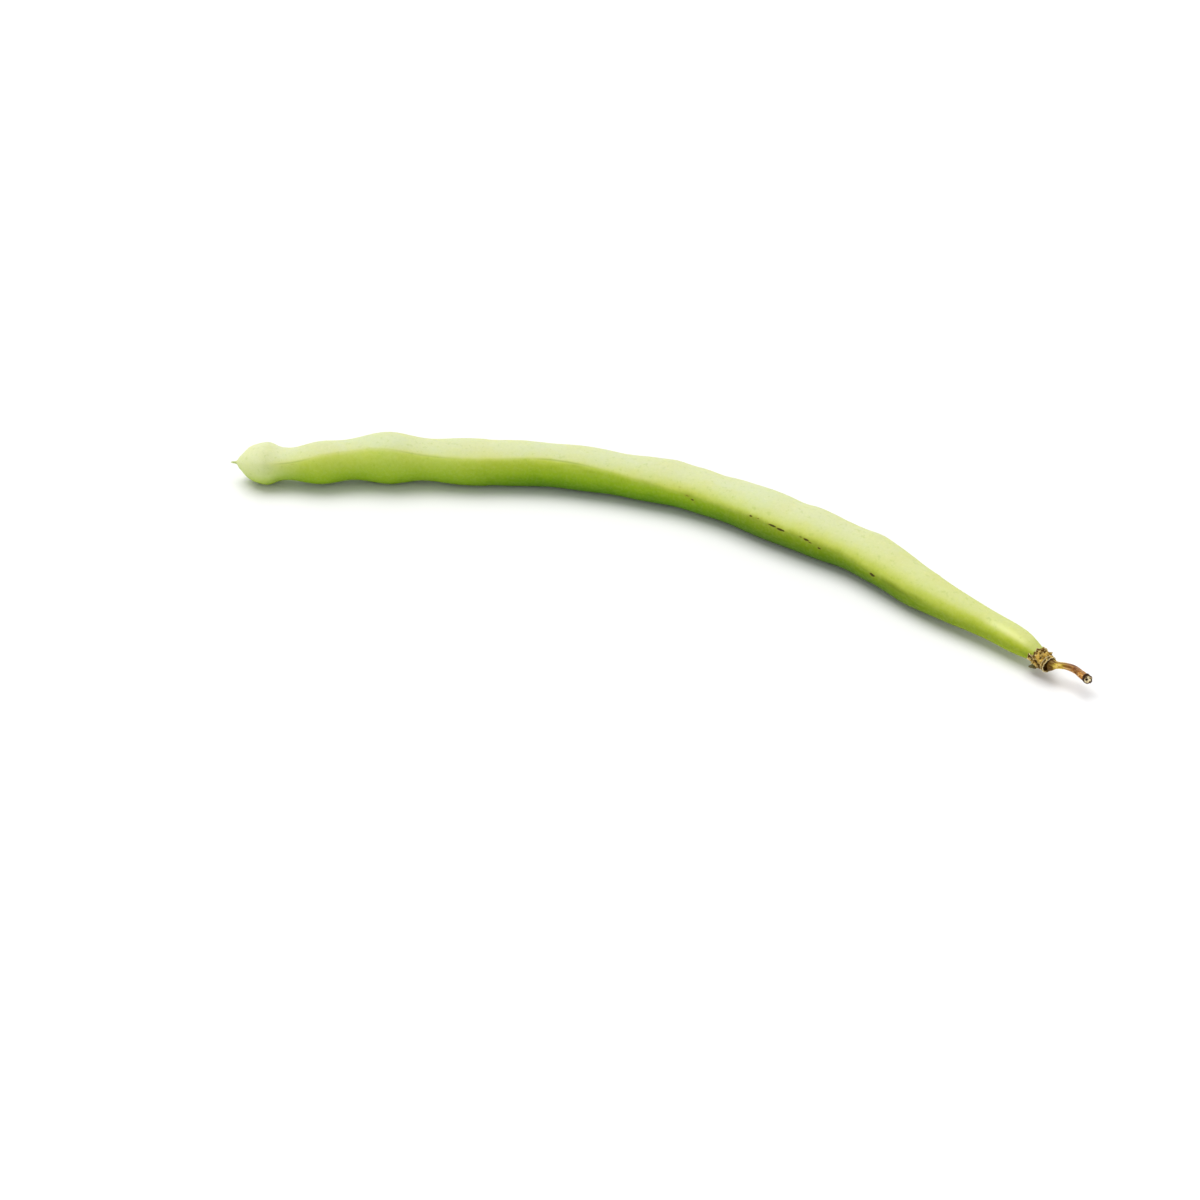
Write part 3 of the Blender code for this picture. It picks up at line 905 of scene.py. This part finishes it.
# The neck's colours, lighter towards the bottom as painted reflected light.
NECK = (
    (-0.6, (0.36, 0.47, 0.03)),
    (-0.3, (0.32, 0.43, 0.02)),
    (-0.1, (0.27, 0.37, 0.012)),
    (0.1, (0.265, 0.36, 0.01)),
    (0.3, (0.335, 0.43, 0.026)),
    (0.5, (0.425, 0.51, 0.052)),
    (0.67, (0.505, 0.575, 0.1)),
    (0.8, (0.575, 0.625, 0.195)),
    (1.0, (0.6, 0.64, 0.265)),
)
# Colours laid over the skin.
NECK_HIGHLIGHT_PALE = (0.74, 0.79, 0.35)
SPECKLE_PALE = (0.78, 0.84, 0.4)
SUTURE_PALE = (0.66, 0.7, 0.22)
CREASE_SHADE_GREEN = (0.2, 0.31, 0.02)
BEAK_TIP_OLIVE = (0.3, 0.38, 0.13)
STAIN_OLIVE = (0.33, 0.3, 0.03)
SCUFF_BROWN = (0.045, 0.032, 0.008)
# Tints that multiply the skin's colour.
DEEPER_PAINTED_SHADE = (0.74, 0.72, 0.5)
PATCH_YELLOW = (1.07, 0.98, 0.78)
BLOTCH_YELLOW = (1.02, 0.985, 0.82)
PEBBLE_GREEN = (0.72, 0.82, 0.55)
PIT_GREEN = (0.76, 0.84, 0.6)
FRECKLE_DARK = (0.8, 0.87, 0.68)
FRECKLE_PALE = (1.07, 1.04, 1.1)
SHADE_GREEN = (0.6, 0.64, 0.4)
NECK_END_SHADE = (0.78, 0.82, 0.6)


def skin_greens(n, mottle):
    """The skin's broad colours: palest on top and darkest below, as painted light and shade, different on
    each valve and at each end of the pod, and with a painted highlight on the neck.
    """
    up = n.attribute("upward")
    along = n.attribute("along")
    lift = n.shaken(up, mottle, 0.22)
    # The lower valve is paler near the beak and a deeper green towards the neck, partly its own colour and
    # partly painted shade.
    lower_color = n.mix(n.between(along, 64.0, 38.0), n.ramp(lift, LOWER_VALVE_SHADED_GREENS), n.ramp(lift, LOWER_VALVE_NEAR_BEAK_SHADED_GREENS))
    # Painted shade darkens the lower valve more and more from 90 to 112 mm along, and fully beyond.
    lower_color = n.tinted(lower_color, n.between(along, 90.0, 112.0), DEEPER_PAINTED_SHADE)
    # The upper valve is paler than the lower one where both face the same way: painted shade on the lower
    # one.
    upper = n.shaken(n.attribute("upper"), mottle, 0.45)
    color = n.mix(n.between(upper, 0.15, 0.95), lower_color, n.ramp(lift, UPPER_VALVE_SHADED_GREENS))
    # The bulb behind the beak is the palest, partly with painted light, and the neck before the calyx
    # yellower, first on its side, and lighter on its underside with painted reflected light.
    bulb = n.between(n.shaken(along, mottle, 4.0), 16.5, 6.0, 0.0, 0.92)
    color = n.mix(bulb, color, n.ramp(lift, BEAK_BULB_SHADED_GREENS))
    neck = n.math("SUBTRACT", n.shaken(along, mottle, 8.0), n.between(up, 0.60, 0.15, 0.0, 14.0))
    color = n.mix(n.between(neck, 120.0, 162.0), color, n.ramp(lift, NECK))
    # The paler streak on the neck is a painted highlight.
    return n.over(color, n.attribute("neck_highlight"), 0.8, NECK_HIGHLIGHT_PALE)


def skin_mottling(n, color, pebble, cells):
    """Yellower and greener patches, fine light speckle, darker pits between the pebbles, and freckles."""
    patches = n.noise(14.0, 3.0, 0.55)
    blotches = n.noise(3.6, 3.0, 0.6, n.stretched((0.55, 1.0, 1.0)))
    freckles = n.noise(0.9, 2.0, 0.6)
    color = n.tinted(color, n.between(patches, 0.35, 0.65, 0.0, 0.30), PATCH_YELLOW)
    color = n.tinted(color, n.between(blotches, 0.42, 0.62, 0.0, 0.40), BLOTCH_YELLOW)
    color = n.mix(n.between(pebble, 0.42, 0.66, 0.0, 0.05), color, SPECKLE_PALE)
    color = n.tinted(color, n.between(pebble, 0.46, 0.32, 0.0, 0.07), PEBBLE_GREEN)
    color = n.tinted(color, n.between(cells, 0.25, 0.75, 0.0, 0.06), PIT_GREEN)
    color = n.tinted(color, n.between(freckles, 0.58, 0.72, 0.0, 0.5), FRECKLE_DARK)
    return n.tinted(color, n.between(freckles, 0.42, 0.30, 0.0, 0.5), FRECKLE_PALE)


def skin_marks(n, color):
    """The sutures, painted shade in their creases and in soft places, the two ends of the pod with painted
    shade next to the calyx, and the brown scuffs.
    """
    along = n.attribute("along")
    color = n.over(color, n.attribute("suture"), 0.08, SUTURE_PALE)
    # Painted shade in the sutures' grooves.
    color = n.over(color, n.attribute("crease"), 0.40, CREASE_SHADE_GREEN)
    # Painted shade in soft deeper green places.
    color = n.tinted(color, n.math("MULTIPLY", n.attribute("shaded"), 0.85), SHADE_GREEN)
    # Painted shade darkens the pod's end where the calyx's mouth reaches over it.
    color = n.tinted(color, n.between(along, 168.6, 171.0, 0.0, 0.8), NECK_END_SHADE)
    color = n.over(color, n.between(along, 0.6, 2.2, 1.0, 0.0), 0.5, BEAK_TIP_OLIVE)
    # Each scuff is dark inside a wider stain, both with ragged edges.
    ragged = n.shaken(n.attribute("scuffed"), n.noise(0.45, 3.0, 0.7), 0.6)
    color = n.over(color, n.between(ragged, 0.22, 0.60), 0.45, STAIN_OLIVE)
    return n.over(color, n.between(ragged, 0.50, 0.78), 0.92, SCUFF_BROWN)


def fresh_skin():
    n = Nodes("fresh_skin")
    mottle = n.noise(2.2, 4.0, 0.6)
    pebble = n.noise(0.6, 3.0, 0.6)
    cells = n.cells(0.42)
    color = skin_marks(n, skin_mottling(n, skin_greens(n, mottle), pebble, cells))
    n.surface(
        base_color=color,
        roughness=n.between(mottle, 0.3, 0.7, 0.42, 0.54),
        specular=0.045,
        subsurface_weight=0.20,
        subsurface_radius=(0.9, 1.0, 0.20),
        subsurface_scale=1.0 * MM,
        normal=n.bump(pebble, 0.022, 0.7, n.bump(cells, 0.009, 0.7)),
    )
    return n.material


# ---- the dry finishes

CALYX_BROWN = (0.105, 0.048, 0.003)
CALYX_GOLD = (0.54, 0.345, 0.065)
CALYX_STRAW = (0.88, 0.69, 0.27)
CALYX_FIBRE = (0.06, 0.023, 0.001)
CALYX_HOLLOW_SHADE = (0.028, 0.01, 0.001)
CALYX_TIP = (0.055, 0.034, 0.01)
CALYX_RIM = (0.9, 0.76, 0.4)
CALYX_FUNNEL_SHADE = (0.1, 0.043, 0.003)

STALK_OCHRE = (0.44, 0.26, 0.012)
STALK_YELLOW = (0.84, 0.65, 0.11)
STALK_RUST = (0.3, 0.1, 0.01)
STALK_TAN = (0.72, 0.38, 0.08)
STALK_FINE = (0.9, 0.62, 0.32)
STALK_BLOTCH = (0.1, 0.03, 0.01)
STALK_STREAK = (0.125, 0.04, 0.006)
STALK_TOP = (0.17, 0.095, 0.075)
STALK_ROOT_SHADE = (0.09, 0.038, 0.003)
COLLAR_DARK = (0.03, 0.012, 0.005)
FLESH_TAN = (0.42, 0.29, 0.1)
FLESH_PALE = (1.0, 0.86, 0.54)
PORE_DARK = (0.06, 0.03, 0.006)

SCALE_DARK = (0.07, 0.055, 0.02)
SCALE_OLIVE = (0.22, 0.19, 0.075)
SCALE_TIP = (0.05, 0.03, 0.012)


def dried_calyx():
    n = Nodes("dried_calyx")
    blotch = n.noise(1.1, 3.0, 0.55)
    grain = n.noise(0.34, 3.0, 0.65)
    fibres = n.noise(0.42, 3.0, 0.6, n.stretched((0.3, 0.8, 1.0)), 0.6)
    color = n.mix(n.between(blotch, 0.44, 0.58), CALYX_BROWN, CALYX_GOLD)
    color = n.mix(n.between(grain, 0.48, 0.66, 0.0, 0.68), color, CALYX_STRAW)
    color = n.mix(n.between(fibres, 0.36, 0.48, 0.70, 0.0), color, CALYX_FIBRE)
    # Painted shade in the crumpled skin's hollows and along the curled sepals' middles.
    color = n.over(color, n.attribute("hollow"), 0.90, CALYX_HOLLOW_SHADE)
    color = n.over(color, n.attribute("tip"), n.between(grain, 0.42, 0.60), CALYX_TIP)
    color = n.over(color, n.attribute("rim"), 0.80, CALYX_RIM)
    # Painted shade inside the funnel.
    color = n.over(color, n.attribute("inside"), 0.94, CALYX_FUNNEL_SHADE)
    n.surface(
        base_color=color,
        roughness=n.between(grain, 0.3, 0.7, 0.62, 0.85),
        specular=0.06,
        normal=n.bump(grain, 0.06, 0.9, n.bump(fibres, 0.10, 0.9)),
    )
    return n.material


def stalk_skin(n, grain, streak):
    """The stalk's ribbed skin: golden near the calyx and brown beyond, with dark blotches and edges."""
    along = n.attribute("along")
    blotch = n.noise(1.5, 3.0, 0.6)
    fine = n.noise(0.20, 2.0, 0.6, n.stretched((0.16, 0.8, 1.0)))
    golden = n.mix(n.between(streak, 0.38, 0.62), STALK_OCHRE, STALK_YELLOW)
    brown = n.mix(n.between(streak, 0.40, 0.60), STALK_RUST, STALK_TAN)
    color = n.mix(n.between(n.shaken(along, streak, 3.0), 2.2, 3.6), golden, brown)
    color = n.mix(n.between(fine, 0.50, 0.68, 0.0, 0.6), color, STALK_FINE)
    blotched = n.math("MULTIPLY", n.between(along, 2.4, 5.0), n.between(blotch, 0.50, 0.62))
    color = n.over(color, blotched, 0.70, STALK_BLOTCH)
    torn = n.shaken(n.attribute("streak"), streak, 1.1)
    color = n.mix(n.between(torn, 0.30, 0.75, 0.0, 0.80), color, STALK_STREAK)
    color = n.over(color, n.attribute("topmost"), 0.55, STALK_TOP)
    # Painted shade darkens the stalk's root inside the calyx's funnel.
    root = n.shaken(along, streak, 1.3)
    color = n.mix(n.between(root, 1.25, 0.40, 0.0, 0.94), color, STALK_ROOT_SHADE)
    collar = n.math("MULTIPLY", n.between(along, 6.85, 7.1), n.between(grain, 0.74, 0.58))
    return n.over(color, collar, 0.92, COLLAR_DARK)


def dried_stalk():
    n = Nodes("dried_stalk")
    grain = n.noise(0.22, 4.0, 0.7)
    streak = n.noise(0.34, 3.0, 0.6, n.stretched((0.20, 0.8, 1.0)))
    flesh = n.mix(n.between(n.noise(0.55, 3.0, 0.6), 0.40, 0.56), FLESH_TAN, FLESH_PALE)
    color = n.over(stalk_skin(n, grain, streak), n.attribute("cut"), n.between(grain, 0.34, 0.46), flesh)
    n.surface(
        base_color=n.mix(n.attribute("pore"), color, PORE_DARK),
        roughness=n.between(streak, 0.3, 0.7, 0.50, 0.72),
        specular=0.12,
        normal=n.bump(grain, 0.04, 0.8, n.bump(streak, 0.08, 0.9)),
    )
    return n.material


def dried_scale():
    n = Nodes("dried_scale")
    grain = n.noise(0.2, 4.0, 0.7)
    color = n.mix(n.between(grain, 0.35, 0.65), SCALE_DARK, SCALE_OLIVE)
    color = n.mix(n.between(n.attribute("share"), 0.6, 1.0, 0.0, 0.6), color, SCALE_TIP)
    n.surface(base_color=color, roughness=0.75, specular=0.3, normal=n.bump(grain, 0.05, 0.9))
    return n.material


# ---- the floor, the light and the camera

# Lengths here are in metres.
FLOOR_HALF = 1.8
LAMP_SIZE = (8.0, 6.4)
LAMP_PLACE = (-2.4, 0.96, 8.0)
LAMP_POWER = 576.0
# The surroundings are white round the horizon, like the floor, and dimmer higher up.
HORIZON_STRENGTH = 1.02
HORIZON_TOP = 0.06
SKY_STRENGTH = 0.61
SKY_BOTTOM = 0.20

# The camera looks down at the bean from its near side; these two angles are in degrees.
CAMERA_AZIMUTH = 23.7
CAMERA_ELEVATION = 35.0
CAMERA_DISTANCE = 0.340
CAMERA_LENS = 56.04  # in millimetres, for a sensor 36 of them wide
LOOK_AT = Vector((-1.5, -23.6, 0.0)) * MM

FLOOR_WHITE = (0.86, 0.86, 0.86)
FLOOR_SPECK = (0.88, 0.88, 0.88)


def build_floor():
    mesh = bpy.data.meshes.new("floor")
    corners = [(x * FLOOR_HALF, y * FLOOR_HALF, 0.0) for x, y in ((-1, -1), (1, -1), (1, 1), (-1, 1))]
    mesh.from_pydata(corners, [], [(0, 1, 2, 3)])
    floor = placed("floor", mesh)
    n = Nodes("floor_paper")
    color = n.mix(n.between(n.noise(60.0), 0.3, 0.7), FLOOR_WHITE, FLOOR_SPECK)
    n.surface(base_color=color, roughness=0.9, specular=0.0)
    mesh.materials.append(n.material)


def build_surroundings():
    world = bpy.data.worlds.new("studio")
    bpy.context.scene.world = world
    world.use_nodes = True
    nodes, links = world.node_tree.nodes, world.node_tree.links
    nodes["Background"].inputs["Color"].default_value = (1.0, 1.0, 1.0, 1.0)
    direction = nodes.new("ShaderNodeTexCoord").outputs["Generated"]
    split = nodes.new("ShaderNodeSeparateXYZ")
    links.new(direction, split.inputs["Vector"])
    fade = nodes.new("ShaderNodeMapRange")
    fade.interpolation_type = "SMOOTHSTEP"
    fade.inputs["From Min"].default_value = HORIZON_TOP
    fade.inputs["From Max"].default_value = SKY_BOTTOM
    fade.inputs["To Min"].default_value = HORIZON_STRENGTH
    fade.inputs["To Max"].default_value = SKY_STRENGTH
    links.new(split.outputs["Z"], fade.inputs["Value"])
    links.new(fade.outputs["Result"], nodes["Background"].inputs["Strength"])


def build_lamp():
    light = bpy.data.lights.new("softbox", "AREA")
    light.shape = "RECTANGLE"
    light.size, light.size_y = LAMP_SIZE
    light.energy = LAMP_POWER
    lamp = placed("softbox", light)
    lamp.location = LAMP_PLACE
    lamp.rotation_euler = (-lamp.location).to_track_quat("-Z", "Y").to_euler()


def build_camera():
    camera = bpy.data.cameras.new("camera")
    camera.sensor_width = 36.0
    camera.lens = CAMERA_LENS
    camera.clip_start = 0.01
    camera.clip_end = 100.0
    holder = placed("camera", camera)
    azimuth, elevation = radians(CAMERA_AZIMUTH), radians(CAMERA_ELEVATION)
    back = Vector((sin(azimuth) * cos(elevation), -cos(azimuth) * cos(elevation), sin(elevation)))
    holder.location = LOOK_AT + back * CAMERA_DISTANCE
    holder.rotation_euler = (-back).to_track_quat("-Z", "Y").to_euler()
    bpy.context.scene.camera = holder


def main():
    for piece, node, finish, slot in (
        (build_pod(), "pod", fresh_skin(), "fresh_skin"),
        (build_calyx(), "calyx", dried_calyx(), "dried_calyx"),
        (build_stalk(), "pedicel", dried_stalk(), "dried_stalk"),
        (build_bracteole(), "bracteole", dried_scale(), "dried_calyx"),
    ):
        piece.data.materials.append(finish)
        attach(piece, "root")
        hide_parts(node)
    build_floor()
    build_surroundings()
    build_lamp()
    build_camera()
    bpy.context.scene.view_settings.view_transform = "Standard"


main()
